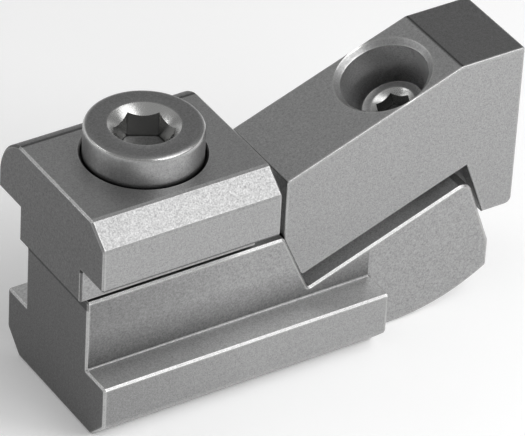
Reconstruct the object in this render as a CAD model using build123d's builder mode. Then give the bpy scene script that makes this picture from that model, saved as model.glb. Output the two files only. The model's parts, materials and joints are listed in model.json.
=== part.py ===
from build123d import *
import os
from math import cos, radians, sin, sqrt, tan

# Flat clamp for an 18 mm T-slot. A T-shaped body slides in the slot, a block on top is
# screwed down on the slot's lips, and a jaw is drawn down a steep guide by its own screw,
# so that it pushes the workpiece sideways and down. Millimetres and degrees. X runs from
# the block to the jaw, and Z = 0 is the underside of the body.

# T-slot body: neck, flange and the ramp lug that reaches out under the jaw
slot_width = 18.0
slot_play = 0.2
flange_width = 28.6
flange_height = 10.6
flange_bevel = 3.5
flange_length = 49.6
neck_height = 12.3
guide_from_end = 33.7
guide_height = 10.8
guide_angle = 66.0
ramp_angle = 20.0
ramp_length = 30.0
nose_face_height = 12.8
nose_chin_height = 5.0
nose_under_radius = 32.0
ramp_corner_radius = 2.0
guide_corner_radius = 0.8
guide_foot_radius = 0.5
flange_root_radius = 0.35

# Clamping block
block_overhang = 1.4
block_length = 30.1
block_width = 30.4
block_height = 10.5
tongue_height = 5.9
tongue_lift = 0.5
front_bevel_width = 3.9
front_bevel_height = 3.3
rear_round_width = 5.8
rear_round_radius = 8.0

# Clamping jaw
jaw_width = 15.8
jaw_thickness = 18.45
jaw_lift = 2.0
jaw_back_step = 0.6
jaw_top_length = 11.4
hook_height = 9.9
hook_foot = 5.4
hook_gap = 0.85
hook_corner_radius = 1.2
heel_play = 0.3

# Clamping screw, M12 with a low head
screw_from_end = 15.4
screw_diameter = 12.0
screw_pitch = 1.75
screw_length = 35.0
head_diameter = 18.0
head_height = 7.0
head_standing = 5.0
head_chamfer = 0.9
socket_width = 8.0
socket_depth = 5.0
socket_turn = 31.0
seat_play = 0.3
hole_play = 0.5

# Jaw screw, M6
jaw_screw_from_fold = 9.4
jaw_screw_diameter = 6.0
jaw_screw_pitch = 1.0
jaw_screw_length = 18.0
jaw_head_diameter = 10.0
jaw_head_height = 6.0
jaw_head_sunk = 6.4
jaw_head_chamfer = 0.5
jaw_socket_width = 5.0
jaw_socket_depth = 3.0
jaw_socket_turn = 5.0
jaw_seat_play = 1.85
jaw_hole_play = 0.3
jaw_mouth_chamfer = 0.85
lug_hole_depth = 12.5

# Retaining ring, which keeps the jaw on its screw
ring_outer_diameter = 9.0
ring_thickness = 0.8
ring_play = 0.1
ring_groove_diameter = 4.4
ring_recess_depth = 1.2
ring_recess_play = 0.4
ring_relief_radius = 0.9
ring_mouth_share = 0.8

# Finish of edges and threads
edge_round = 0.4
edge_bevel = 0.3
hole_chamfer = 0.5
thread_play = 0.3
thread_tip_chamfer = 1.0
drill_point_angle = 118.0
socket_rim_share = 0.1
pitch_depth = 0.6495
bore_overrun = 1.0

# Heights of the body, from its underside
neck_width = slot_width - slot_play
neck_top = flange_height + neck_height
table_z = neck_top + tongue_lift + tongue_height
block_top = table_z + block_height

# The body's outline in X and Z, with X counted from the outer end of the block
ramp_along = Vector(cos(radians(ramp_angle)), sin(radians(ramp_angle)))
ramp_up = Vector(-ramp_along.Y, ramp_along.X)
guide_down = Vector(cos(radians(guide_angle)), -sin(radians(guide_angle)))
body_end = Vector(block_overhang, 0)
guide_top = Vector(block_overhang + guide_from_end, neck_top)
ramp_foot = guide_top + guide_down * (guide_height / sin(radians(guide_angle)))
ramp_head = ramp_foot + ramp_along * ramp_length
nose_top = ramp_head - ramp_up * (nose_face_height / ramp_up.Y)
nose_chin = Vector(nose_top.X, nose_chin_height)
under_run = sqrt(nose_under_radius**2 - (nose_under_radius - nose_chin_height) ** 2)
under_start = Vector(nose_chin.X - under_run, 0)

# The jaw's outline: its underside stays jaw_lift above the ramp, its back lies on the guide
under_line = ramp_foot + ramp_up * jaw_lift
jaw_heel = ramp_foot - guide_down * (jaw_lift / sin(radians(guide_angle + ramp_angle)))
jaw_back_x = guide_top.X + jaw_back_step
jaw_back_foot = Vector(jaw_back_x, ramp_foot.Y + (ramp_foot.X - jaw_back_x) * tan(radians(guide_angle)))
hook_inner = ramp_head + ramp_up * jaw_lift + ramp_along * hook_gap
hook_tip = hook_inner - ramp_up * (hook_height / ramp_up.Y)
jaw_face_x = hook_tip.X + hook_foot
hook_toe = Vector(jaw_face_x, hook_tip.Y)
top_line = under_line + ramp_up * jaw_thickness
jaw_fold_x = jaw_face_x - jaw_top_length
jaw_fold = top_line + ramp_along * ((jaw_fold_x - top_line.X) / ramp_along.X)
jaw_top_front = Vector(jaw_face_x, jaw_fold.Y)
jaw_back_top = top_line + ramp_along * ((jaw_back_x - top_line.X) / ramp_along.X)

# The origin lies under the middle of the whole clamp
origin_x = jaw_face_x / 2


def place(point):
    """A point of an outline, counted from the origin instead of from the block's end."""
    return (point.X - origin_x, point.Y)


def in_space(point):
    """A point of an outline as a point of the middle plane."""
    return Vector(point.X - origin_x, 0, point.Y)


def round_corner(sketch, corner, radius):
    """Round the one corner of a sketch's outline that lies at the given point."""
    fillet(sketch.vertices().sort_by_distance(place(corner))[0], radius)


def outer_edges(part):
    """The edges of a part that stand out, without those in its inner corners."""
    return part.edges().filter_by(lambda edge: not edge.is_interior)


def cap_screw(axis_plane, diameter, pitch, length, head, socket, groove=None):
    """A cap screw: axis_plane has its origin on the seat, and Z out of the head.

    head is (diameter, height, chamfer), socket is (width, depth, turn), and groove is
    (distance from the seat, width, diameter). The thread is left at its pitch diameter.
    """
    head_width, head_rise, rim = head
    flats, depth, turn = socket
    thread_radius = diameter / 2 - pitch * pitch_depth / 2
    plain_end = -2 * pitch
    section = Plane(axis_plane.origin, x_dir=axis_plane.x_dir, z_dir=-axis_plane.y_dir)
    with BuildPart() as screw:
        with BuildSketch(section):
            with BuildLine():
                Polyline(
                    (0, -length),
                    (thread_radius - thread_tip_chamfer, -length),
                    (thread_radius, thread_tip_chamfer - length),
                    (thread_radius, plain_end),
                    (diameter / 2, plain_end),
                    (diameter / 2, 0),
                    (head_width / 2, 0),
                    (head_width / 2, head_rise - rim),
                    (head_width / 2 - rim, head_rise),
                    (0, head_rise),
                    close=True,
                )
            make_face()
        revolve(axis=Axis(axis_plane.origin, axis_plane.z_dir))
        with BuildSketch(axis_plane.offset(head_rise)):
            RegularPolygon(flats / 2, 6, major_radius=False, rotation=turn)
        extrude(amount=-depth, mode=Mode.SUBTRACT)
        mouth_radius = flats / sqrt(3) + flats * socket_rim_share
        drill_radius = flats / 2
        drill_rise = drill_radius / tan(radians(drill_point_angle / 2))
        with BuildSketch(section):
            with BuildLine():
                Polyline(
                    (0, head_rise),
                    (mouth_radius, head_rise),
                    (0, head_rise - mouth_radius),
                    close=True,
                )
            make_face()
            with BuildLine():
                Polyline(
                    (0, head_rise - depth),
                    (drill_radius, head_rise - depth),
                    (0, head_rise - depth - drill_rise),
                    close=True,
                )
            make_face()
            if groove:
                groove_at, groove_width, groove_bottom = groove
                with Locations((groove_bottom / 2, -groove_at)):
                    Rectangle(diameter, groove_width, align=(Align.MIN, Align.MAX))
        revolve(axis=Axis(axis_plane.origin, axis_plane.z_dir), mode=Mode.SUBTRACT)
    return screw.part


def bore(mouth_plane, steps, mouth_chamfer, point_angle=180.0):
    """The space of a stepped hole: mouth_plane has its origin at the mouth, and Z out of it.

    steps are (radius, depth from the mouth) pairs, from the widest to the narrowest, and
    point_angle is that of the drill at the bottom.
    """
    section = Plane(mouth_plane.origin, x_dir=mouth_plane.x_dir, z_dir=-mouth_plane.y_dir)
    first_radius = steps[0][0]
    last_radius, last_depth = steps[-1]
    outline = [(0, bore_overrun), (first_radius + mouth_chamfer + bore_overrun, bore_overrun)]
    step_start = mouth_chamfer
    for radius, depth in steps:
        outline += [(radius, -step_start), (radius, -depth)]
        step_start = depth
    if point_angle < 180.0:
        outline.append((0, -last_depth - last_radius / tan(radians(point_angle / 2))))
    else:
        outline.append((0, -last_depth))
    with BuildPart() as space:
        with BuildSketch(section):
            with BuildLine():
                Polyline(*outline, close=True)
            make_face()
        revolve(axis=Axis(mouth_plane.origin, mouth_plane.z_dir))
    return space.part


os.makedirs("parts", exist_ok=True)

# Axes of the two screws, each with its origin on the seat of the head
body_x = body_end.X - origin_x
screw_x = screw_from_end - origin_x
seat_z = block_top + head_standing - head_height
screw_plane = Plane(origin=(screw_x, 0, seat_z), x_dir=(1, 0, 0), z_dir=(0, 0, 1))
bore_mouth = jaw_fold - ramp_along * jaw_screw_from_fold
jaw_seat = bore_mouth - ramp_up * (jaw_head_sunk + jaw_head_height)
jaw_axis_plane = Plane(
    origin=in_space(jaw_seat),
    x_dir=(ramp_along.X, 0, ramp_along.Y),
    z_dir=(ramp_up.X, 0, ramp_up.Y),
)
jaw_web = jaw_thickness - jaw_head_sunk - jaw_head_height
ring_top = jaw_web - ring_recess_depth + ring_play

# The two tapped holes, at the pitch diameter and a little play
tapped_radius = (screw_diameter - screw_pitch * pitch_depth) / 2 + thread_play
jaw_tapped_radius = (jaw_screw_diameter - jaw_screw_pitch * pitch_depth) / 2 + thread_play

# T-slot body: one plate in the slot's width, with the flange along its foot
with BuildPart() as t_slot_body:
    with BuildSketch(Plane.XZ) as side_view:
        with BuildLine():
            Polyline(
                place(under_start),
                place(body_end),
                place(Vector(body_end.X, neck_top)),
                place(guide_top),
                place(ramp_foot),
                place(ramp_head),
                place(nose_top),
                place(nose_chin),
            )
            RadiusArc(place(nose_chin), place(under_start), nose_under_radius)
        make_face()
        round_corner(side_view, ramp_head, ramp_corner_radius)
        round_corner(side_view, guide_top, guide_corner_radius)
        round_corner(side_view, ramp_foot, guide_foot_radius)
        round_corner(side_view, nose_chin, edge_round)
    extrude(amount=neck_width / 2, both=True)
    with BuildSketch(Plane.YZ.offset(body_x)):
        with BuildLine():
            half = flange_width / 2
            Polyline(
                (flange_bevel - half, 0),
                (-half, flange_bevel),
                (-half, flange_height),
                (half, flange_height),
                (half, flange_bevel),
                (half - flange_bevel, 0),
                close=True,
            )
        make_face()
    extrude(amount=flange_length)
    chamfer(outer_edges(t_slot_body), edge_bevel)
    inner_edges = t_slot_body.edges().filter_by(lambda edge: edge.is_interior)
    flange_roots = inner_edges.filter_by(Axis.X).group_by(Axis.Z)[-1]
    fillet(flange_roots, flange_root_radius)
    top_mouth = Plane(origin=(screw_x, 0, neck_top), z_dir=(0, 0, 1))
    foot_mouth = Plane(origin=(screw_x, 0, 0), z_dir=(0, 0, -1))
    ramp_mouth = jaw_axis_plane.offset(-jaw_web - jaw_lift)
    add(bore(top_mouth, [(tapped_radius, neck_top)], hole_chamfer), mode=Mode.SUBTRACT)
    add(bore(foot_mouth, [(tapped_radius, neck_top)], hole_chamfer), mode=Mode.SUBTRACT)
    add(
        bore(ramp_mouth, [(jaw_tapped_radius, lug_hole_depth)], hole_chamfer, drill_point_angle),
        mode=Mode.SUBTRACT,
    )
t_slot_body.part.label = "t_slot_body"
export_step(t_slot_body.part, "parts/t_slot_body.step")

# Clamping block: its tongue guides it in the slot, one long top edge is bevelled, one round
with BuildPart() as clamping_block:
    with BuildSketch(Plane.YZ.offset(-origin_x)):
        with BuildLine():
            block_half = block_width / 2
            tongue_half = neck_width / 2
            tongue_foot = table_z - tongue_height
            round_start = (block_half - rear_round_width, block_top)
            round_drop = sqrt(rear_round_radius**2 - (rear_round_radius - rear_round_width) ** 2)
            round_end = (block_half, block_top - round_drop)
            Polyline(
                round_end,
                (block_half, table_z),
                (tongue_half, table_z),
                (tongue_half, tongue_foot),
                (-tongue_half, tongue_foot),
                (-tongue_half, table_z),
                (-block_half, table_z),
                (-block_half, block_top - front_bevel_height),
                (front_bevel_width - block_half, block_top),
                round_start,
            )
            RadiusArc(round_start, round_end, rear_round_radius)
        make_face()
    extrude(amount=block_length)
    chamfer(outer_edges(clamping_block), edge_bevel)
    block_mouth = Plane(origin=(screw_x, 0, block_top), z_dir=(0, 0, 1))
    seat_radius = head_diameter / 2 + seat_play
    hole_radius = screw_diameter / 2 + hole_play
    through = block_height + tongue_height + bore_overrun
    add(
        bore(block_mouth, [(seat_radius, block_top - seat_z), (hole_radius, through)], edge_bevel),
        mode=Mode.SUBTRACT,
    )
clamping_block.part.label = "clamping_block"
export_step(clamping_block.part, "parts/clamping_block.step")

# Clamping screw
clamping_screw = cap_screw(
    screw_plane,
    screw_diameter,
    screw_pitch,
    screw_length,
    (head_diameter, head_height, head_chamfer),
    (socket_width, socket_depth, socket_turn),
)
clamping_screw.label = "clamping_screw"
export_step(clamping_screw, "parts/clamping_screw.step")

# Clamping jaw: one plate with a deep seat for its screw and a hook in front of the nose
with BuildPart() as clamping_jaw:
    with BuildSketch(Plane.XZ) as jaw_view:
        with BuildLine():
            Polyline(
                place(jaw_heel),
                place(jaw_back_foot),
                place(jaw_back_top),
                place(jaw_fold),
                place(jaw_top_front),
                place(hook_toe),
                place(hook_tip),
                place(hook_inner),
                close=True,
            )
        make_face()
        round_corner(jaw_view, hook_toe, hook_corner_radius)
        round_corner(jaw_view, jaw_back_top, edge_round)
        round_corner(jaw_view, jaw_top_front, edge_round)
        round_corner(jaw_view, jaw_heel, guide_foot_radius + heel_play)
    extrude(amount=jaw_width / 2, both=True)
    jaw_sides = outer_edges(clamping_jaw).group_by(Axis.Y)
    fillet(jaw_sides[0] + jaw_sides[-1], edge_round)
    jaw_mouth = jaw_axis_plane.offset(jaw_head_sunk + jaw_head_height)
    jaw_seat_radius = jaw_head_diameter / 2 + jaw_seat_play
    jaw_hole_radius = jaw_screw_diameter / 2 + jaw_hole_play
    jaw_seat_depth = jaw_head_sunk + jaw_head_height
    jaw_through = jaw_thickness + bore_overrun
    add(
        bore(
            jaw_mouth,
            [(jaw_seat_radius, jaw_seat_depth), (jaw_hole_radius, jaw_through)],
            jaw_mouth_chamfer,
        ),
        mode=Mode.SUBTRACT,
    )
    recess_plane = jaw_axis_plane.offset(-jaw_web)
    recess_mouth = Plane(recess_plane.origin, x_dir=recess_plane.x_dir, z_dir=-recess_plane.z_dir)
    recess_radius = ring_outer_diameter / 2 + ring_recess_play
    add(bore(recess_mouth, [(recess_radius, ring_recess_depth)], 0.0), mode=Mode.SUBTRACT)
clamping_jaw.part.label = "clamping_jaw"
export_step(clamping_jaw.part, "parts/clamping_jaw.step")

# Jaw screw, with the groove for its ring
jaw_screw = cap_screw(
    jaw_axis_plane,
    jaw_screw_diameter,
    jaw_screw_pitch,
    jaw_screw_length,
    (jaw_head_diameter, jaw_head_height, jaw_head_chamfer),
    (jaw_socket_width, jaw_socket_depth, jaw_socket_turn),
    (ring_top, ring_thickness + ring_play, ring_groove_diameter),
)
jaw_screw.label = "jaw_screw"
export_step(jaw_screw, "parts/jaw_screw.step")

# Retaining ring: an open ring that is pushed into the screw's groove from the side
with BuildPart() as retaining_ring:
    with BuildSketch(jaw_axis_plane.offset(-ring_top)):
        Circle(ring_outer_diameter / 2)
        Circle(ring_groove_diameter / 2 + ring_play, mode=Mode.SUBTRACT)
        with PolarLocations(ring_groove_diameter / 2, 2, start_angle=90):
            Circle(ring_relief_radius, mode=Mode.SUBTRACT)
        Rectangle(
            ring_outer_diameter,
            ring_groove_diameter * ring_mouth_share,
            align=(Align.MIN, Align.CENTER),
            mode=Mode.SUBTRACT,
        )
    extrude(amount=-ring_thickness)
retaining_ring.part.label = "retaining_ring"
export_step(retaining_ring.part, "parts/retaining_ring.step")
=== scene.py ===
"""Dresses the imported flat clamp: finishes, threaded screws, stage, lights and camera."""

import json
import math
from collections import namedtuple

import bpy
import numpy as np
from bpy.props import FloatProperty, FloatVectorProperty, PointerProperty
from mathutils import Matrix, Vector

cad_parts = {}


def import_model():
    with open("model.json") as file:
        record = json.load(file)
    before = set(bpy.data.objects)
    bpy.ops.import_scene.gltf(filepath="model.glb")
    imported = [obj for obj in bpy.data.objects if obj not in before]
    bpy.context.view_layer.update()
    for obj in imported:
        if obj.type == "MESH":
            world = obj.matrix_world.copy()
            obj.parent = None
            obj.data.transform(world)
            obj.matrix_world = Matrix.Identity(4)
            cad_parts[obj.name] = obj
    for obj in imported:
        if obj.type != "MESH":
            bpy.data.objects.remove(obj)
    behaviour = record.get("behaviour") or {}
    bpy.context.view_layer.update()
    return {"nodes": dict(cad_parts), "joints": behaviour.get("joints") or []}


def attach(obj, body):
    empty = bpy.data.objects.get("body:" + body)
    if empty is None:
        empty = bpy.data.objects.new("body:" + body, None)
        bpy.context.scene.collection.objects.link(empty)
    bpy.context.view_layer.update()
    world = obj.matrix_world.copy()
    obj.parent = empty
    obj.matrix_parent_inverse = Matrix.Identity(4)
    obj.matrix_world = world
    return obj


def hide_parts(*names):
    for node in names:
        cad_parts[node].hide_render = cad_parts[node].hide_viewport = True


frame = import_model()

bl_info = {
    "name": "Flat clamp",
    "version": (1, 0, 0),
    "blender": (4, 5, 0),
    "location": "3D View > Sidebar > Flat clamp",
    "description": "Finishes, threaded screws, stage and camera for a flat clamp",
    "category": "Object",
}

MM = 0.001
WHITE = (1.0, 1.0, 1.0, 1.0)

# Width of the image in pixels, and of the camera's sensor in millimetres
IMAGE_WIDTH = 525.0
SENSOR_WIDTH = 36.0

# Heights of the body's and the block's edges
FLANGE_TOP = 10.6 * MM
NECK_TOP = 22.9 * MM
TONGUE_FOOT = 23.4 * MM
TABLE = 29.3 * MM

# Places along the clamp: ends of block and body, where the neck's full side stops, the jaw's fold
BLOCK_END = -38.609 * MM
BODY_END = -37.209 * MM
NECK_FRONT = 12.0 * MM
JAW_FOLD = 27.209 * MM

# Places across the clamp: side of the tongue, and where the block's rolled edge starts
TONGUE_SIDE = 8.9 * MM
ROUND_START = 9.4 * MM

# Thread proportions, as shares of the pitch
FLANK_SHARE = 0.3125
CREST_SHARE = 0.125
ROOT_SHARE = 0.634375

# Turns of plain shank between the thread and the seat of the head
PLAIN_TURNS = 2.0

# The shank is at the thread's crest this far above the thread, and at full diameter this far above it
SHANK_START = 0.1 * MM
SHANK_FULL = 0.5 * MM

# What a screw's flat tip stands inside the thread's root, and the chamfer under its head
TIP_STEP = 0.3 * MM
HEAD_CHAMFER = 0.2 * MM

# Mouth of a socket: cone as a share of the width across flats, and the lip round it
SOCKET_RIM_SHARE = 0.1
LIP_WIDTH = 0.12 * MM
LIP_DEPTH = 0.048 * MM

# Hole drilled before a socket is pressed: share of its width across flats, and half the drill's point
DRILL_SHARE = 0.96
DRILL_POINT = math.radians(59.0)

# Grid of a screw's surface, and the angle from which an edge is shaded sharp
SCREW_COLUMNS = 96
ROWS_PER_TURN = 10
RIM_ROWS = 7
SHARP_ANGLE = math.radians(32.0)

# Grain: scales as shares of the finest one's, the finest one's share, and the gloss of pale grains
NOISE_DETAIL = 3.0
MOTTLE_SCALE = 0.45
CLOUD_SCALE = 0.03
FINE_SHARE = 0.7
GRAIN_GLOSS = 0.35

# Rubbed edges: openness where they start, how fast they whiten, and how uneven they are
OCCLUSION_SAMPLES = 8
EDGE_START = 0.93
EDGE_GAIN = 9.0
PATCH_SCALE = 0.25
PATCH_LEAST = 0.7
PATCH_SWING = 0.6
EDGE_POLISH = 0.55

# Painted shade in crevices: openness where it fills them, how fast it clears, and how dark it is
CREVICE_START = 0.45
CREVICE_GAIN = 2.2
CREVICE_POWER = 3.0
CREVICE_DEPTH = 0.85

# A face darkened by painted shade to the first of these tones shows no rubbed edges, and from the second all
# of them
RUBBED_TONES = (0.3, 0.5)

# Cosines between which a face starts to count, and counts in full, as square to an axis of the
# piece, or to the jaw screw
SQUARE = (0.9, 0.97)
RAMP_SQUARE = (0.98, 0.995)

# Width of the soft border of what lies within a radius about a screw's axis
AXIS_BORDER = 0.05 * MM

# Factors on the steel's colour for faces that are darker or paler than it: painted shade where below one,
# painted light where above one
BODY_TONES = {
    "ends": 0.38,
    "seam": 0.4,
    "foot": 0.35,
    "corner": 1.5,
    "back_sides": 0.78,
    "back_neck": 0.82,
    "lips": 1.75,
    "ground": 2.2,
}
BLOCK_TONES = {"ends": 0.4, "seam": 0.35, "under": 0.3, "skin": 0.26, "border": 0.45}
JAW_TONES = {
    "sides": 0.97,
    "level": 0.56,
    "slope": 1.1,
    "fold": 0.4,
    "wall": 2.3,
    "under": 2.0,
    "heel": 2.2,
}
CLAMPING_SCREW_TONES = {"bottom": 0.8, "flat": 1.0, "side": 1.35}
JAW_SCREW_TONES = {"bottom": 0.4, "flat": 0.7, "side": 0.7}

# Body: height of the neck's painted dark foot, painted highlight line in its corner, run of the painted tone
# along the sides, and how far the painted shade under the block reaches down and forwards at the back end
FOOT_HEIGHT = 6.5 * MM
CORNER_LINE = 0.35 * MM
SIDES_START = -38.0 * MM
SIDES_RUN = 28.0 * MM
SEAM_DEPTH = 1.6 * MM
SEAM_REACH = 0.25 * MM

# Block: how far the painted shade reaches up the tongue's end, from its corners, up its sides and forwards
TONGUE_SHADE = 0.36 * MM
TONGUE_CORNER = 0.35 * MM
TABLE_SHADE = 0.55 * MM
BLOCK_REACH = 0.4 * MM

# Jaw: middle of the painted dark line beyond the fold, half its width, and radius that takes in the bore
# with its painted light
FOLD_LINE = 0.12 * MM
FOLD_WIDTH = 0.35 * MM
BORE_RADIUS = 7.6 * MM

# Painted light on a screw at the cone of its socket, and a painted highlight on the rim of its head
CONE_PAINTED_LIGHT = 0.65
RIM_PAINTED_HIGHLIGHT = 0.85

# Floor and the lamps: name, direction from the clamp, distance, size and radiance
FLOOR_SIZE = 6.0
LAMPS_AIM = (0.0, 0.0, 22.0 * MM)
LAMPS = (
    ("key_light", (0.45, -0.468, 0.76), 0.45, (0.3, 0.3), 1.95),
    ("front_light", (0.1, -0.75, 0.65), 0.5, (0.22, 0.22), 2.5),
    ("rim_light", (-0.72, 0.42, 0.5), 0.6, (0.3, 0.06), 4.5),
    ("low_light", (0.72, -0.60, 0.33), 0.55, (0.385, 0.385), 4.8),
)

# The metal doesn't mirror this lamp, which lights the floor
UNSEEN_LAMP = "low_light"

# Sines of elevation: where the white walls start to fade, and where the room is at its brightest
WALL_FADE = 0.1
ROOM_TOP = 0.7

# Each hinge turns about its screw's axis, and its point is the seat of the screw's head
HINGES = {joint["name"]: joint for joint in frame["joints"] if joint["type"] == "hinge"}

# One kind of steel: its colour, gloss and grain, with the height of its relief in metres
Surface = namedtuple("Surface", "color roughness grain_size mottle clouds relief")


def length_setting(name, description, millimetres):
    """A setting for a length, with its default in millimetres."""
    return FloatProperty(
        name=name, description=description, unit="LENGTH", min=0.0, default=millimetres * MM
    )


def angle_setting(name, description, degrees):
    """A setting for an angle, with its default in degrees."""
    return FloatProperty(name=name, description=description, unit="ROTATION", default=math.radians(degrees))


def color_setting(name, description, default):
    """A setting for a colour."""
    return FloatVectorProperty(
        name=name, description=description, subtype="COLOR", size=3, min=0.0, max=1.0, default=default
    )


class FinishSettings(bpy.types.PropertyGroup):
    """Colours and surface of the steel pieces."""

    steel_color: color_setting("Steel", "Phosphated steel of body, block and jaw", (0.385, 0.385, 0.385))
    screw_color: color_setting("Screws", "Blackened steel of the two screws", (0.27, 0.27, 0.27))
    spring_color: color_setting("Spring steel", "Blued steel of the retaining ring", (0.16, 0.17, 0.19))
    # Also the colour of the painted light in the screws' sockets and the painted highlight on their rims
    worn_color: color_setting("Worn edges", "Bare steel where edges are rubbed bright", (0.64, 0.64, 0.63))
    roughness: FloatProperty(
        name="Roughness", description="Roughness of the satin surface", min=0.0, max=1.0, default=0.42,
    )
    grain_size: FloatProperty(
        name="Grain size", description="Width of one grain of the blasted surface", unit="LENGTH",
        min=0.05 * MM, max=5.0 * MM, default=0.22 * MM,
    )
    edge_width: FloatProperty(
        name="Edge width", description="Width of the rubbed band along an edge", unit="LENGTH",
        min=0.05 * MM, max=2.0 * MM, default=0.4 * MM,
    )
    # Reach of the painted shade in joints and inner corners
    crevice_width: FloatProperty(
        name="Crevice width", description="How far from a joint the dirt reaches", unit="LENGTH",
        min=0.05 * MM, max=5.0 * MM, default=0.45 * MM,
    )


class ClampingScrewSettings(bpy.types.PropertyGroup):
    """Sizes of the clamping screw, an M12 low-head cap screw, measured from the seat of its head."""

    diameter: length_setting("Diameter", "Nominal diameter", 12)
    pitch: length_setting("Pitch", "Rise of the thread in one turn", 1.75)
    crest_play: length_setting("Crest play", "What the crests stand back from the nominal radius", 0.3)
    length: length_setting("Length", "Length below the seat", 35)
    head_diameter: length_setting("Head", "Diameter of the head", 18)
    head_height: length_setting("Head height", "Height of the head", 7)
    head_round: length_setting("Rim", "Rounding of the head's rim", 0.9)
    socket_width: length_setting("Socket", "Socket across flats", 8)
    socket_depth: length_setting("Socket depth", "Depth of the socket", 5)
    socket_turn: angle_setting("Socket turn", "Turn of a socket corner from the screw's X axis", 31)
    groove_top: length_setting("Groove", "Distance of a ring groove below the seat", 0)
    groove_width: length_setting("Groove width", "Width of the groove, or zero for none", 0)
    groove_diameter: length_setting("Groove bottom", "Diameter at the bottom of the groove", 0)


class JawScrewSettings(bpy.types.PropertyGroup):
    """Sizes of the jaw screw, an M6 cap screw with a ring groove, measured from the seat of its head."""

    diameter: length_setting("Diameter", "Nominal diameter", 6)
    pitch: length_setting("Pitch", "Rise of the thread in one turn", 1)
    crest_play: length_setting("Crest play", "What the crests stand back from the nominal radius", 0.18)
    length: length_setting("Length", "Length below the seat", 18)
    head_diameter: length_setting("Head", "Diameter of the head", 10)
    head_height: length_setting("Head height", "Height of the head", 6)
    head_round: length_setting("Rim", "Rounding of the head's rim", 0.5)
    socket_width: length_setting("Socket", "Socket across flats", 5)
    socket_depth: length_setting("Socket depth", "Depth of the socket", 3)
    socket_turn: angle_setting("Socket turn", "Turn of a socket corner from the screw's X axis", 5)
    groove_top: length_setting("Groove", "Distance of the ring groove below the seat", 4.95)
    groove_width: length_setting("Groove width", "Width of the groove, or zero for none", 0.9)
    groove_diameter: length_setting("Groove bottom", "Diameter at the bottom of the groove", 4.4)


class StageSettings(bpy.types.PropertyGroup):
    """Camera, floor and room."""

    azimuth: angle_setting("Azimuth", "Camera's turn round the clamp", -33.751)
    elevation: angle_setting("Elevation", "Camera's height above the horizon", 35.922)
    roll: angle_setting("Roll", "Camera's turn about its own axis", 3.296)
    distance: length_setting("Distance", "Camera to target", 700)
    focal_pixels: FloatProperty(
        name="Focal length", description="Focal length in pixels of the 525 wide image", default=4688.6,
    )
    target: FloatVectorProperty(
        name="Target", description="Point that the camera circles", unit="LENGTH", size=3,
        default=(-3.609 * MM, 0.0, 24.3 * MM),
    )
    offset: FloatVectorProperty(
        name="Offset", description="Sideways and upward shift of the camera", unit="LENGTH", size=2,
        default=(1.411 * MM, -2.605 * MM),
    )
    floor_color: color_setting("Floor", "Colour of the floor", (0.9, 0.9, 0.9))
    floor_lift: FloatProperty(
        name="Floor lift", description="What the camera and the metal see of the floor beyond its own light",
        default=0.15,
    )
    horizon: FloatProperty(
        name="Horizon", description="Brightness of the room at the horizon", default=0.02,
    )
    ceiling: FloatProperty(name="Ceiling", description="Brightness of the room overhead", default=0.44)
    wall_height: FloatProperty(
        name="Wall", description="Sine of the elevation up to which the metal sees the white walls",
        default=0.45,
    )


def link(obj):
    """Puts an object in the scene."""
    bpy.context.scene.collection.objects.link(obj)
    return obj


def mesh_from_rings(name, rings, start, end):
    """A closed surface from rings of points, each ring joined to the next by quads.

    rings has the shape (rows, columns, 3). Each end is closed by a fan from a point in its middle.
    """
    rows, columns, _ = rings.shape
    points = rings.reshape(-1, 3)
    row = np.arange(rows - 1)[:, None] * columns
    here = np.arange(columns)
    after = (here + 1) % columns
    quads = np.stack([row + here, row + after, row + columns + after, row + columns + here], axis=-1)
    faces = quads.reshape(-1, 4).tolist()
    for middle, first, flip in ((start, 0, True), (end, (rows - 1) * columns, False)):
        fan = np.stack([first + here, first + after, np.full(columns, len(points))], axis=-1)
        points = np.vstack([points, middle])
        faces += (fan[:, ::-1] if flip else fan).tolist()
    mesh = bpy.data.meshes.new(name)
    mesh.from_pydata(points.tolist(), [], faces)
    mesh.validate()
    mesh.shade_smooth()
    mesh.set_sharp_from_angle(angle=SHARP_ANGLE)
    return mesh


def thread_radius(angle, height, root, crest, pitch):
    """Radius of a thread: a flat crest, straight flanks and a flat root, wound round by the angle.

    The phase is height / pitch less the share of a turn, so that a crest climbs one pitch
    in a turn to the left of the viewer, as a right-hand thread does.
    """
    phase = np.mod(height / pitch - angle / (2 * math.pi), 1.0)
    from_crest = np.abs(phase - 0.5)
    share = np.clip((CREST_SHARE / 2 + FLANK_SHARE - from_crest) / FLANK_SHARE, 0.0, 1.0)
    return root + (crest - root) * share


def hexagon_radius(angle, width, start):
    """Distance of a hexagon's outline from its middle: half the width over the cosine from mid-flat."""
    from_flat = np.mod(angle - start, math.pi / 3) - math.pi / 6
    return width / 2 / np.cos(from_flat)


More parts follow.
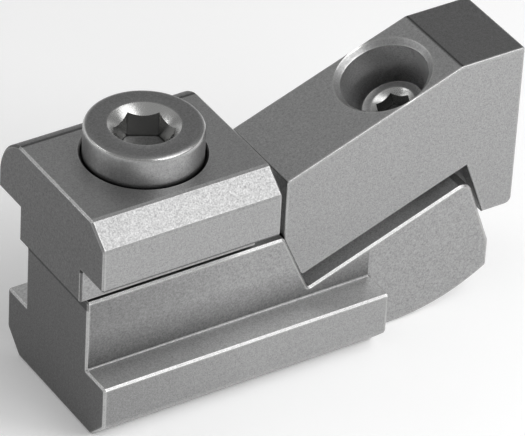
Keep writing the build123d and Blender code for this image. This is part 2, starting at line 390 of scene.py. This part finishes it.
def screw_rings(screw):
    """Rings of a cap screw from its tip over the thread and the head into the socket.

    Every ring is a radius and a height over the angle, with the seat of the head at zero.
    Returns the points, and the middles of the tip and of the drilled hole's point.
    """
    angle = screw.socket_turn + np.arange(SCREW_COLUMNS) * 2 * math.pi / SCREW_COLUMNS
    shank = screw.diameter / 2
    crest = shank - screw.crest_play
    root = shank - screw.pitch * ROOT_SHARE
    tip = root - TIP_STEP
    thread_end = -PLAIN_TURNS * screw.pitch
    rings = []

    def add(radius, height):
        """Adds the rings of a radius and a height, each one number or an array of rows and columns."""
        shape = np.broadcast_shapes(np.shape(radius), np.shape(height), (1, SCREW_COLUMNS))
        rings.append([np.broadcast_to(radius, shape), np.broadcast_to(height, shape)])

    # A thread that starts from a cone at the tip and fades out to its crest over its last turn
    rows = int(round((screw.length + thread_end) / screw.pitch * ROWS_PER_TURN))
    height = np.linspace(-screw.length, thread_end, rows + 1)[:, None]
    thread = thread_radius(angle, height, root, crest, screw.pitch)
    cone = tip + (height + screw.length)
    fade = np.clip((height - thread_end) / screw.pitch + 1.0, 0.0, 1.0)
    add(np.minimum(thread + (crest - thread) * fade, cone), height)
    if screw.groove_width:
        # The thread reaches above the groove, so these rings go back down over it
        bottom = screw.groove_diameter / 2
        groove_end = -screw.groove_top - screw.groove_width
        add(crest, groove_end)
        add(bottom, groove_end)
        add(bottom, -screw.groove_top)
        add(shank, -screw.groove_top)
    else:
        add(crest, thread_end + SHANK_START)
        add(shank, thread_end + SHANK_FULL)
    add(shank, 0.0)

    # The head, with a quarter round of the rim's radius
    head = screw.head_diameter / 2
    top = screw.head_height
    add(head - HEAD_CHAMFER, 0.0)
    add(head, HEAD_CHAMFER)
    step = np.linspace(0.0, math.pi / 2, RIM_ROWS)[:, None]
    add(head - screw.head_round * (1 - np.cos(step)), top - screw.head_round * (1 - np.sin(step)))

    # The socket: a lip, a cone of 45 degrees down to the hexagon, its walls and the drilled hole
    mouth = screw.socket_width * (1 / math.sqrt(3.0) + SOCKET_RIM_SHARE)
    hexagon = hexagon_radius(angle, screw.socket_width, screw.socket_turn)
    floor = top - screw.socket_depth
    drill = screw.socket_width / 2 * DRILL_SHARE
    add(mouth + LIP_WIDTH, top)
    add(mouth, top - LIP_DEPTH)
    add(hexagon, top - LIP_DEPTH - (mouth - hexagon))
    add(hexagon, floor)
    add(drill, floor)
    radii, heights = np.concatenate(rings, axis=1)
    points = np.stack([radii * np.cos(angle), radii * np.sin(angle), heights], axis=-1)
    return points, (0.0, 0.0, -screw.length), (0.0, 0.0, floor - drill / math.tan(DRILL_POINT))


def seat_place(joint):
    """The place of a screw whose head points away from the table, seated at a hinge's point."""
    out = Vector(joint["axis"])
    if out.z < 0:
        out.negate()
    across = Vector((0.0, 1.0, 0.0)).cross(out)
    axes = Matrix((across, (0.0, 1.0, 0.0), out)).transposed().to_4x4()
    return Matrix.Translation(joint["pos_m"]) @ axes


def make_screw(name, screw, hinge, node, material):
    """A threaded cap screw that stands for a CAD node and turns with a hinge."""
    points, start, end = screw_rings(screw)
    mesh = mesh_from_rings(name, points, start, end)
    mesh.transform(seat_place(HINGES[hinge]))
    obj = link(bpy.data.objects.new(name, mesh))
    obj.data.materials.append(bpy.data.materials[material])
    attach(obj, HINGES[hinge]["child"])
    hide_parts(node)


def new_group(name, inputs, outputs):
    """A shader node group with its sockets, and its input and output nodes."""
    group = bpy.data.node_groups.new(name, "ShaderNodeTree")
    for socket_name, socket_type, default in inputs:
        socket = group.interface.new_socket(socket_name, in_out="INPUT", socket_type=socket_type)
        socket.default_value = default
    for socket_name, socket_type in outputs:
        group.interface.new_socket(socket_name, in_out="OUTPUT", socket_type=socket_type)
    return group, group.nodes.new("NodeGroupInput"), group.nodes.new("NodeGroupOutput")


def place_group(tree, group, **values):
    """A group node with its inputs set: a key in_words sets the socket In Words."""
    node = tree.nodes.new("ShaderNodeGroup")
    node.node_tree = bpy.data.node_groups[group]
    for key, value in values.items():
        name = " ".join(word.capitalize() for word in key.split("_"))
        node.inputs[name].default_value = value
    return node


def math_node(tree, operation, first, second=None, clamp=False):
    """A Math node whose two inputs are sockets or numbers. Returns its output."""
    node = tree.nodes.new("ShaderNodeMath")
    node.operation = operation
    node.use_clamp = clamp
    for index, value in enumerate((first, second)):
        if value is None:
            continue
        if isinstance(value, (int, float)):
            node.inputs[index].default_value = value
        else:
            tree.links.new(value, node.inputs[index])
    return node.outputs[0]


def product(tree, *shares):
    """The shares times each other."""
    result = shares[0]
    for share in shares[1:]:
        result = math_node(tree, "MULTIPLY", result, share)
    return result


def inverse(tree, share):
    """One less a share."""
    return math_node(tree, "SUBTRACT", 1.0, share)


def climb(tree, value, low, high):
    """A share that climbs from zero at one value to one at another."""
    above = math_node(tree, "SUBTRACT", value, low)
    return math_node(tree, "MULTIPLY", above, 1.0 / (high - low), clamp=True)


def masked(tree, mask, factor):
    """One where a mask is zero, and a factor where it is one."""
    return inverse(tree, product(tree, mask, 1.0 - factor))


def toned(tree, tones, **masks):
    """The product of the tones, each of which counts where the mask of its name is one."""
    return product(tree, *(masked(tree, mask, tones[name]) for name, mask in masks.items()))


def scale_color(tree, color_socket, factor):
    """A colour socket times a factor socket."""
    scale = tree.nodes.new("ShaderNodeVectorMath")
    scale.operation = "SCALE"
    tree.links.new(color_socket, scale.inputs[0])
    tree.links.new(factor, scale.inputs["Scale"])
    return scale.outputs[0]


def noise(tree, vector, scale):
    """A noise texture about one half. Returns its value."""
    node = tree.nodes.new("ShaderNodeTexNoise")
    tree.links.new(vector, node.inputs["Vector"])
    tree.links.new(scale, node.inputs["Scale"])
    node.inputs["Detail"].default_value = NOISE_DETAIL
    return node.outputs["Fac"]


def build_grain_group():
    """Fine mottled grain of a blasted and phosphated surface."""
    group, source, sink = new_group(
        "Blasted grain",
        [
            ("Color", "NodeSocketColor", (0.3, 0.3, 0.3, 1.0)),
            ("Roughness", "NodeSocketFloat", 0.42),
            ("Grain Size", "NodeSocketFloat", 0.4 * MM),
            ("Mottle", "NodeSocketFloat", 0.3),
            ("Clouds", "NodeSocketFloat", 0.12),
        ],
        [("Color", "NodeSocketColor"), ("Roughness", "NodeSocketFloat"), ("Height", "NodeSocketFloat")],
    )
    place = group.nodes.new("ShaderNodeTexCoord").outputs["Object"]
    fine_scale = math_node(group, "DIVIDE", 1.0, source.outputs["Grain Size"])
    fine = noise(group, place, fine_scale)
    mottle = noise(group, place, product(group, fine_scale, MOTTLE_SCALE))
    clouds = noise(group, place, product(group, fine_scale, CLOUD_SCALE))
    mixed = math_node(
        group, "ADD", product(group, fine, FINE_SHARE), product(group, mottle, 1.0 - FINE_SHARE)
    )
    grain_part = product(group, math_node(group, "SUBTRACT", mixed, 0.5), source.outputs["Mottle"])
    cloud_part = product(group, math_node(group, "SUBTRACT", clouds, 0.5), source.outputs["Clouds"])
    total = math_node(group, "ADD", grain_part, cloud_part)
    tint = scale_color(group, source.outputs["Color"], math_node(group, "ADD", total, 1.0))
    group.links.new(tint, sink.inputs["Color"])
    gloss = product(group, total, GRAIN_GLOSS)
    rough = math_node(group, "SUBTRACT", source.outputs["Roughness"], gloss)
    group.links.new(rough, sink.inputs["Roughness"])
    group.links.new(math_node(group, "ADD", fine, mottle), sink.inputs["Height"])


def build_wear_group():
    """Mask of rubbed edges: rays into the metal come out again close to an outer edge."""
    group, source, sink = new_group(
        "Rubbed edges",
        [("Width", "NodeSocketFloat", 0.4 * MM), ("Amount", "NodeSocketFloat", 0.8)],
        [("Mask", "NodeSocketFloat")],
    )
    inner = group.nodes.new("ShaderNodeAmbientOcclusion")
    inner.inside = True
    inner.only_local = True
    inner.samples = OCCLUSION_SAMPLES
    group.links.new(source.outputs["Width"], inner.inputs["Distance"])
    escaped = math_node(group, "SUBTRACT", EDGE_START, inner.outputs["AO"])
    sharp = math_node(group, "MULTIPLY", escaped, EDGE_GAIN, clamp=True)
    place = group.nodes.new("ShaderNodeTexCoord").outputs["Object"]
    scale = math_node(group, "DIVIDE", PATCH_SCALE, source.outputs["Width"])
    patches = product(group, noise(group, place, scale), PATCH_SWING)
    uneven = math_node(group, "ADD", patches, PATCH_LEAST)
    mask = math_node(group, "MULTIPLY", product(group, sharp, uneven), source.outputs["Amount"], clamp=True)
    group.links.new(mask, sink.inputs["Mask"])


def build_crevice_group():
    """Painted shade in joints and inner corners, darkest where ambient occlusion is strongest.

    Shade is one on a face and near zero in a crevice, and Open is one clear of the painted shade.
    """
    group, source, sink = new_group(
        "Crevice dirt",
        [("Width", "NodeSocketFloat", 0.7 * MM), ("Depth", "NodeSocketFloat", 0.8)],
        [("Shade", "NodeSocketFloat"), ("Open", "NodeSocketFloat")],
    )
    occlusion = group.nodes.new("ShaderNodeAmbientOcclusion")
    occlusion.samples = OCCLUSION_SAMPLES
    group.links.new(source.outputs["Width"], occlusion.inputs["Distance"])
    past = math_node(group, "SUBTRACT", occlusion.outputs["AO"], CREVICE_START)
    open_share = math_node(group, "MULTIPLY", past, CREVICE_GAIN, clamp=True)
    occlusion_shade = product(group, inverse(group, open_share), source.outputs["Depth"])
    group.links.new(inverse(group, occlusion_shade), sink.inputs["Shade"])
    group.links.new(math_node(group, "POWER", open_share, CREVICE_POWER), sink.inputs["Open"])


def build_axis_group():
    """Where a point of the surface lies about an axis.

    Inside is one within the radius, and Along is how far the face looks along the axis.
    """
    group, source, sink = new_group(
        "Around an axis",
        [
            ("Point", "NodeSocketVector", (0.0, 0.0, 0.0)),
            ("Axis", "NodeSocketVector", (0.0, 0.0, 1.0)),
            ("Radius", "NodeSocketFloat", 1.0 * MM),
        ],
        [("Inside", "NodeSocketFloat"), ("Along", "NodeSocketFloat")],
    )

    def vector_node(operation, first, second=None):
        """A Vector Math node with its first input linked, and its second or its scale."""
        node = group.nodes.new("ShaderNodeVectorMath")
        node.operation = operation
        group.links.new(first, node.inputs[0])
        if second is not None:
            group.links.new(second, node.inputs["Scale" if operation == "SCALE" else 1])
        return node

    coordinates = group.nodes.new("ShaderNodeTexCoord")
    axis = source.outputs["Axis"]
    offset = vector_node("SUBTRACT", coordinates.outputs["Object"], source.outputs["Point"]).outputs[0]
    along = vector_node("DOT_PRODUCT", offset, axis).outputs["Value"]
    foot = vector_node("SCALE", axis, along).outputs[0]
    away = vector_node("LENGTH", vector_node("SUBTRACT", offset, foot).outputs[0]).outputs["Value"]
    inside = math_node(group, "SUBTRACT", source.outputs["Radius"], away)
    inside = math_node(group, "MULTIPLY", inside, 1.0 / AXIS_BORDER, clamp=True)
    group.links.new(inside, sink.inputs["Inside"])
    faces = vector_node("DOT_PRODUCT", coordinates.outputs["Normal"], axis).outputs["Value"]
    group.links.new(math_node(group, "ABSOLUTE", faces), sink.inputs["Along"])


def steel_material(name, surface, edges, wear, shade=None, painted_light=None):
    """Satin steel with grain, painted shade in its joints and rubbed edges.

    edges is the width of the rubbed edges as a share of the setting, and wear how worn they are.
    shade and the painted light argument are functions of the node tree. They return a factor that paints
    light and shade on the colour of some faces, and where the worn colour is painted on as light.
    """
    finish = bpy.context.scene.clamp_finish
    material = bpy.data.materials.new(name)
    material.use_nodes = True
    tree = material.node_tree
    shader = tree.nodes["Principled BSDF"]
    grain = place_group(
        tree,
        "Blasted grain",
        color=(*surface.color, 1.0),
        roughness=surface.roughness,
        grain_size=surface.grain_size,
        mottle=surface.mottle,
        clouds=surface.clouds,
    )
    worn = place_group(tree, "Rubbed edges", width=finish.edge_width * edges, amount=wear)
    # Painted shade in joints and inner corners, from ambient occlusion
    occlusion_shade = place_group(tree, "Crevice dirt", width=finish.crevice_width, depth=CREVICE_DEPTH)
    rubbed = product(tree, worn.outputs["Mask"], occlusion_shade.outputs["Open"])
    plain = grain.outputs["Color"]
    if shade:
        # The shade function's factor paints light and shade into the colour
        factor = shade(tree)
        plain = scale_color(tree, plain, factor)
        rubbed = product(tree, rubbed, climb(tree, factor, *RUBBED_TONES))
    if painted_light:
        # For the screws, painted light and a painted highlight join the rubbed edges here
        rubbed = math_node(tree, "MAXIMUM", rubbed, painted_light(tree))
    mix = tree.nodes.new("ShaderNodeMix")
    mix.data_type = "RGBA"
    tree.links.new(rubbed, mix.inputs["Factor"])
    tree.links.new(plain, mix.inputs["A"])
    mix.inputs["B"].default_value = (*finish.worn_color, 1.0)
    # Painted shade darkens the colour in the crevices
    occlusion_shaded = scale_color(tree, mix.outputs["Result"], occlusion_shade.outputs["Shade"])
    tree.links.new(occlusion_shaded, shader.inputs["Base Color"])
    polished = product(tree, grain.outputs["Roughness"], masked(tree, rubbed, EDGE_POLISH))
    tree.links.new(polished, shader.inputs["Roughness"])
    shader.inputs["Metallic"].default_value = 1.0
    relief = tree.nodes.new("ShaderNodeBump")
    relief.inputs["Distance"].default_value = surface.relief
    relief.inputs["Strength"].default_value = 1.0
    tree.links.new(grain.outputs["Height"], relief.inputs["Height"])
    tree.links.new(relief.outputs["Normal"], shader.inputs["Normal"])


def object_axes(tree, output):
    """X, Y and Z of an object's own normal or place, in metres."""
    coordinates = tree.nodes.new("ShaderNodeTexCoord")
    axes = tree.nodes.new("ShaderNodeSeparateXYZ")
    tree.links.new(coordinates.outputs[output], axes.inputs[0])
    return axes.outputs


def facing(tree, axis, low, high, both_ways=False):
    """How far a face looks along an axis: zero at the low cosine and one at the high one."""
    cosine = object_axes(tree, "Normal")[axis]
    if both_ways:
        cosine = math_node(tree, "ABSOLUTE", cosine)
    return climb(tree, cosine, low, high)


def beyond(tree, axis, start, width):
    """How far a point is past a place on an axis: zero at the start and one a width later."""
    return climb(tree, object_axes(tree, "Object")[axis], start, start + width)


def before(tree, axis, end):
    """One before a place on an axis, and zero beyond it."""
    return math_node(tree, "LESS_THAN", object_axes(tree, "Object")[axis], end)


def near(tree, axis, middle, inner, outer, both_sides=False):
    """One within the inner distance of a place on an axis, and zero past the outer one."""
    value = object_axes(tree, "Object")[axis]
    if both_sides:
        value = math_node(tree, "ABSOLUTE", value)
    away = math_node(tree, "ABSOLUTE", math_node(tree, "SUBTRACT", value, middle))
    return inverse(tree, climb(tree, away, inner, outer))


def about(tree, hinge, radius):
    """Inside and Along about a screw's axis."""
    joint = HINGES[hinge]
    node = place_group(tree, "Around an axis", point=joint["pos_m"], axis=joint["axis"], radius=radius)
    return node.outputs["Inside"], node.outputs["Along"]


def ramp_faces(tree):
    """One on the faces that are square to the jaw screw, such as the ramp and the jaw's underside."""
    _, along = about(tree, "jaw_screw_turn", 1.0)
    return climb(tree, along, *RAMP_SQUARE)


def body_shade(tree):
    """Painted shade on the ends, under the block's overhang and on the foot of the neck, and painted light
    on the lips and ramp.

    Painted shade makes the sides of neck and flange darker towards the back, and a painted highlight runs
    along the inner corner between them.
    """
    above = beyond(tree, "Z", FLANGE_TOP, 0.2 * MM)
    low = inverse(tree, beyond(tree, "Z", FLANGE_TOP, FOOT_HEIGHT))
    root = near(tree, "Z", FLANGE_TOP, 0.7 * CORNER_LINE, CORNER_LINE)
    behind = inverse(tree, beyond(tree, "X", SIDES_START, SIDES_RUN))
    sides = product(tree, facing(tree, "Y", *SQUARE, both_ways=True), before(tree, "X", NECK_FRONT))
    overhung = beyond(tree, "Z", NECK_TOP - SEAM_DEPTH, 0.15 * MM)
    return toned(
        tree,
        BODY_TONES,
        # Each tone paints shade or light: ends, seam, foot and sides darker, corner, lips and ramp paler
        ends=facing(tree, "X", *SQUARE, both_ways=True),
        seam=product(tree, before(tree, "X", BODY_END + SEAM_REACH), overhung),
        foot=product(tree, sides, above, low, inverse(tree, root)),
        corner=product(tree, sides, root, above),
        back_sides=product(tree, sides, behind),
        back_neck=product(tree, sides, behind, above),
        lips=product(tree, facing(tree, "Z", 0.95, 0.98), inverse(tree, above)),
        ground=product(tree, ramp_faces(tree), above),
    )


def block_shade(tree):
    """Painted shade on the ends, along the lower edges, on the round edge and along the line where it
    starts.
    """
    foot = inverse(tree, beyond(tree, "Z", TONGUE_FOOT + TONGUE_SHADE, 0.14 * MM))
    corner = near(tree, "Y", TONGUE_SIDE, 0.2 * MM, TONGUE_CORNER, both_sides=True)
    corner = product(tree, corner, before(tree, "Z", TABLE))
    joint = math_node(tree, "MAXIMUM", foot, corner)
    outward = facing(tree, "Y", 0.5, 0.65, both_ways=True)
    border = near(tree, "Y", ROUND_START, 0.2 * MM, 0.4 * MM)
    return toned(
        tree,
        BLOCK_TONES,
        # All these tones are painted shade, darker than the steel
        ends=facing(tree, "X", *SQUARE, both_ways=True),
        seam=product(tree, before(tree, "X", BLOCK_END + BLOCK_REACH), joint),
        under=product(tree, outward, near(tree, "Z", TABLE, 0.7 * TABLE_SHADE, TABLE_SHADE)),
        skin=product(tree, facing(tree, "Y", 0.06, 0.2), facing(tree, "Z", 0.05, 0.15)),
        border=product(tree, border, facing(tree, "Z", 0.9, 0.95)),
    )


def jaw_shade(tree):
    """Painted shade on the sides and level top, with a darker line along the fold, and painted light on the
    slope, the underside, the bore and the heel.
    """
    up = facing(tree, "Z", 0.8, 0.9)
    past = beyond(tree, "X", JAW_FOLD, 0.1 * MM)
    inside, along = about(tree, "jaw_screw_turn", BORE_RADIUS)
    downward = math_node(tree, "LESS_THAN", object_axes(tree, "Normal")["Z"], 0.0)
    return toned(
        tree,
        JAW_TONES,
        # Tones below one are painted shade, tones above one painted light
        sides=facing(tree, "Y", *SQUARE, both_ways=True),
        level=product(tree, up, past),
        slope=product(tree, up, inverse(tree, past)),
        fold=product(tree, up, near(tree, "X", JAW_FOLD + FOLD_LINE, 0.15 * MM, FOLD_WIDTH)),
        wall=product(tree, inside, inverse(tree, climb(tree, along, 0.2, 0.5))),
        under=product(tree, ramp_faces(tree), downward),
        heel=facing(tree, "X", -SQUARE[0], -SQUARE[1]),
    )


def screw_shade(hinge, socket_radius, tones):
    """A function for a cap screw: painted light and shade for its socket's bottom, its flat faces and its
    sides.
    """

    def shade(tree):
        inside, along = about(tree, hinge, socket_radius)
        flat = climb(tree, along, 0.4, 0.5)
        # Painted shade and light on the socket's bottom, the flat faces and the sides
        return toned(tree, tones, bottom=product(tree, inside, flat), flat=flat, side=inverse(tree, flat))

    return shade


def screw_painted_light(hinge, mouth, walls, rim):
    """A function for a cap screw: painted light on the cone and walls of the socket, and a painted highlight
    on the rim of the head.

    The cone lies within the radius of the mouth, the walls within their own, and the rim outside
    its radius.
    """

    def painted_light(tree):
        in_mouth, along = about(tree, hinge, mouth)
        in_walls, _ = about(tree, hinge, walls)
        in_rim, _ = about(tree, hinge, rim)
        cone = product(tree, climb(tree, along, 0.3, 0.5), inverse(tree, climb(tree, along, 0.85, 0.95)))
        wall = product(tree, in_walls, inverse(tree, climb(tree, along, 0.1, 0.3)))
        # The band in the middle of the rim's round is a painted highlight
        band = product(tree, climb(tree, along, 0.35, 0.5), inverse(tree, climb(tree, along, 0.6, 0.8)))
        socket = math_node(tree, "MAXIMUM", product(tree, in_mouth, cone, CONE_PAINTED_LIGHT), wall)
        return math_node(tree, "MAXIMUM", socket, product(tree, band, inverse(tree, in_rim), RIM_PAINTED_HIGHLIGHT))

    return painted_light


def dress(node, material):
    """Gives a CAD node its material."""
    for slot in frame["nodes"][node].material_slots:
        slot.material = bpy.data.materials[material]


class CLAMP_OT_finishes(bpy.types.Operator):
    """Builds the shared shader groups and the steels"""

    bl_idname = "clamp.finishes"
    bl_label = "Finishes"

    def execute(self, context):
        finish = context.scene.clamp_finish
        build_grain_group()
        build_wear_group()
        build_crevice_group()
        build_axis_group()
        size = finish.grain_size
        rough = finish.roughness
        steel = Surface(finish.steel_color, rough, size, mottle=1.3, clouds=0.05, relief=0.012 * MM)
        black = Surface(finish.screw_color, rough * 0.9, size, mottle=1.2, clouds=0.08, relief=0.01 * MM)
        blued = Surface(finish.spring_color, 0.3, size, mottle=0.1, clouds=0.1, relief=0.004 * MM)
        steel_material("Body steel", steel, edges=1.0, wear=1.0, shade=body_shade)
        steel_material("Block steel", steel, edges=0.65, wear=0.9, shade=block_shade)
        steel_material("Jaw steel", steel, edges=0.9, wear=1.0, shade=jaw_shade)
        steel_material(
            "Clamping screw steel", black, edges=1.0, wear=0.9,
            shade=screw_shade("block_screw_turn", 4.1 * MM, CLAMPING_SCREW_TONES),
            painted_light=screw_painted_light("block_screw_turn", mouth=5.6 * MM, walls=4.9 * MM, rim=7.9 * MM),
        )
        steel_material(
            "Jaw screw steel", black, edges=1.0, wear=0.9,
            shade=screw_shade("jaw_screw_turn", 2.6 * MM, JAW_SCREW_TONES),
            painted_light=screw_painted_light("jaw_screw_turn", mouth=3.6 * MM, walls=3.1 * MM, rim=5.2 * MM),
        )
        steel_material("Blued spring steel", blued, edges=1.0, wear=0.6)
        return {"FINISHED"}


class CLAMP_OT_slot_body(bpy.types.Operator):
    """Dresses the T-slot body"""

    bl_idname = "clamp.slot_body"
    bl_label = "T-slot body"

    def execute(self, context):
        dress("t_slot_body", "Body steel")
        return {"FINISHED"}


class CLAMP_OT_block(bpy.types.Operator):
    """Dresses the clamping block"""

    bl_idname = "clamp.block"
    bl_label = "Clamping block"

    def execute(self, context):
        dress("clamping_block", "Block steel")
        return {"FINISHED"}


class CLAMP_OT_jaw(bpy.types.Operator):
    """Dresses the clamping jaw and the ring under it"""

    bl_idname = "clamp.jaw"
    bl_label = "Clamping jaw"

    def execute(self, context):
        dress("clamping_jaw", "Jaw steel")
        dress("retaining_ring", "Blued spring steel")
        return {"FINISHED"}


class CLAMP_OT_clamping_screw(bpy.types.Operator):
    """Makes the clamping screw with its thread and socket"""

    bl_idname = "clamp.clamping_screw"
    bl_label = "Clamping screw"

    def execute(self, context):
        screw = context.scene.clamp_main_screw
        make_screw(
            "clamping_screw_threaded", screw, "block_screw_turn", "clamping_screw",
            "Clamping screw steel",
        )
        return {"FINISHED"}


class CLAMP_OT_jaw_screw(bpy.types.Operator):
    """Makes the jaw screw with its thread, socket and ring groove"""

    bl_idname = "clamp.jaw_screw"
    bl_label = "Jaw screw"

    def execute(self, context):
        screw = context.scene.clamp_jaw_screw
        make_screw(
            "jaw_screw_threaded", screw, "jaw_screw_turn", "jaw_screw", "Jaw screw steel"
        )
        return {"FINISHED"}


def area_light(name, direction, distance, size, radiance):
    """A lamp that looks at the clamp. Its power is radiance times pi times its area."""
    light = bpy.data.lights.new(name, "AREA")
    light.shape = "RECTANGLE"
    light.size, light.size_y = size
    light.energy = radiance * math.pi * size[0] * size[1]
    obj = link(bpy.data.objects.new(name, light))
    towards = Vector(direction).normalized()
    place = Vector(LAMPS_AIM) + towards * distance
    obj.matrix_world = Matrix.LocRotScale(place, towards.to_track_quat("Z", "Y"), None)
    return obj


def build_room(stage):
    """A room that is darker low down. The camera sees it as white, and the metal its walls."""
    world = bpy.data.worlds.new("Room")
    world.use_nodes = True
    tree = world.node_tree
    coordinates = tree.nodes.new("ShaderNodeTexCoord")
    axes = tree.nodes.new("ShaderNodeSeparateXYZ")
    tree.links.new(coordinates.outputs["Generated"], axes.inputs[0])
    rise = tree.nodes.new("ShaderNodeMapRange")
    rise.inputs["From Max"].default_value = ROOM_TOP
    rise.inputs["To Min"].default_value = stage.horizon
    rise.inputs["To Max"].default_value = stage.ceiling
    tree.links.new(axes.outputs["Z"], rise.inputs["Value"])
    path = tree.nodes.new("ShaderNodeLightPath")
    mirrored = math_node(tree, "MAXIMUM", path.outputs["Is Glossy Ray"], path.outputs["Is Transmission Ray"])
    wall = inverse(tree, climb(tree, axes.outputs["Z"], WALL_FADE, stage.wall_height))
    seen = math_node(tree, "MAXIMUM", path.outputs["Is Camera Ray"], product(tree, mirrored, wall))
    background = tree.nodes["Background"]
    background.inputs["Color"].default_value = WHITE
    tree.links.new(math_node(tree, "MAXIMUM", rise.outputs[0], seen), background.inputs["Strength"])
    return world


def build_floor_material(stage):
    """A white floor that camera, metal and glass see a little brighter than the lamps light it."""
    material = bpy.data.materials.new("Pale floor")
    material.use_nodes = True
    material.cycles.emission_sampling = "NONE"
    tree = material.node_tree
    shader = tree.nodes["Principled BSDF"]
    shader.inputs["Base Color"].default_value = (*stage.floor_color, 1.0)
    shader.inputs["Roughness"].default_value = 0.9
    shader.inputs["Specular IOR Level"].default_value = 0.2
    path = tree.nodes.new("ShaderNodeLightPath")
    seen = math_node(tree, "MAXIMUM", path.outputs["Is Camera Ray"], path.outputs["Is Glossy Ray"])
    seen = math_node(tree, "MAXIMUM", seen, path.outputs["Is Transmission Ray"])
    shader.inputs["Emission Color"].default_value = WHITE
    tree.links.new(product(tree, seen, stage.floor_lift), shader.inputs["Emission Strength"])
    return material


def place_camera(stage):
    """A camera that circles the target, turned about its own axis and shifted across its view."""
    camera = bpy.data.cameras.new("camera")
    camera.sensor_width = SENSOR_WIDTH
    camera.lens = stage.focal_pixels / IMAGE_WIDTH * SENSOR_WIDTH
    camera.clip_end = 20.0
    obj = link(bpy.data.objects.new("camera", camera))
    around, rise, roll = stage.azimuth, stage.elevation, stage.roll
    right = Vector((math.cos(around), math.sin(around), 0.0))
    level = math.cos(rise)
    back = Vector((math.sin(around) * level, -math.cos(around) * level, math.sin(rise)))
    up = back.cross(right)
    across = right * math.cos(roll) + up * math.sin(roll)
    upward = up * math.cos(roll) - right * math.sin(roll)
    place = Vector(stage.target) + back * stage.distance
    place += across * stage.offset[0] + upward * stage.offset[1]
    obj.matrix_world = Matrix.Translation(place) @ Matrix((across, upward, back)).transposed().to_4x4()
    return obj


class CLAMP_OT_stage(bpy.types.Operator):
    """Makes the floor, the lights, the room and the camera"""

    bl_idname = "clamp.stage"
    bl_label = "Stage"

    def execute(self, context):
        stage = context.scene.clamp_stage
        bpy.ops.mesh.primitive_plane_add(size=FLOOR_SIZE, location=(0.0, 0.0, 0.0))
        floor = context.object
        floor.name = "floor"
        floor.data.materials.append(build_floor_material(stage))
        for name, *lamp in LAMPS:
            area_light(name, *lamp).visible_glossy = name != UNSEEN_LAMP
        context.scene.world = build_room(stage)
        context.scene.camera = place_camera(stage)
        context.scene.view_settings.view_transform = "Standard"
        return {"FINISHED"}


STEPS = (
    CLAMP_OT_finishes,
    CLAMP_OT_slot_body,
    CLAMP_OT_block,
    CLAMP_OT_clamping_screw,
    CLAMP_OT_jaw,
    CLAMP_OT_jaw_screw,
    CLAMP_OT_stage,
)

SETTINGS = {
    "clamp_finish": FinishSettings,
    "clamp_main_screw": ClampingScrewSettings,
    "clamp_jaw_screw": JawScrewSettings,
    "clamp_stage": StageSettings,
}


class CLAMP_PT_panel(bpy.types.Panel):
    """Lists the clamp's steps, and the settings that they use"""

    bl_idname = "CLAMP_PT_panel"
    bl_label = "Flat clamp"
    bl_space_type = "VIEW_3D"
    bl_region_type = "UI"
    bl_category = "Flat clamp"

    def draw(self, context):
        for step in STEPS:
            self.layout.operator(step.bl_idname)
        for name, group in SETTINGS.items():
            box = self.layout.box()
            for key in group.__annotations__:
                box.prop(getattr(context.scene, name), key)


def register():
    """Registers the settings, the steps and the panel."""
    for group in (*SETTINGS.values(), *STEPS, CLAMP_PT_panel):
        bpy.utils.register_class(group)
    for name, group in SETTINGS.items():
        setattr(bpy.types.Scene, name, PointerProperty(type=group))


def unregister():
    """Takes them away again."""
    for name in SETTINGS:
        delattr(bpy.types.Scene, name)
    for group in (CLAMP_PT_panel, *reversed(STEPS), *reversed(SETTINGS.values())):
        bpy.utils.unregister_class(group)


def main():
    register()
    for step in STEPS:
        category, name = step.bl_idname.split(".")
        getattr(getattr(bpy.ops, category), name)()


if __name__ == "__main__":
    main()
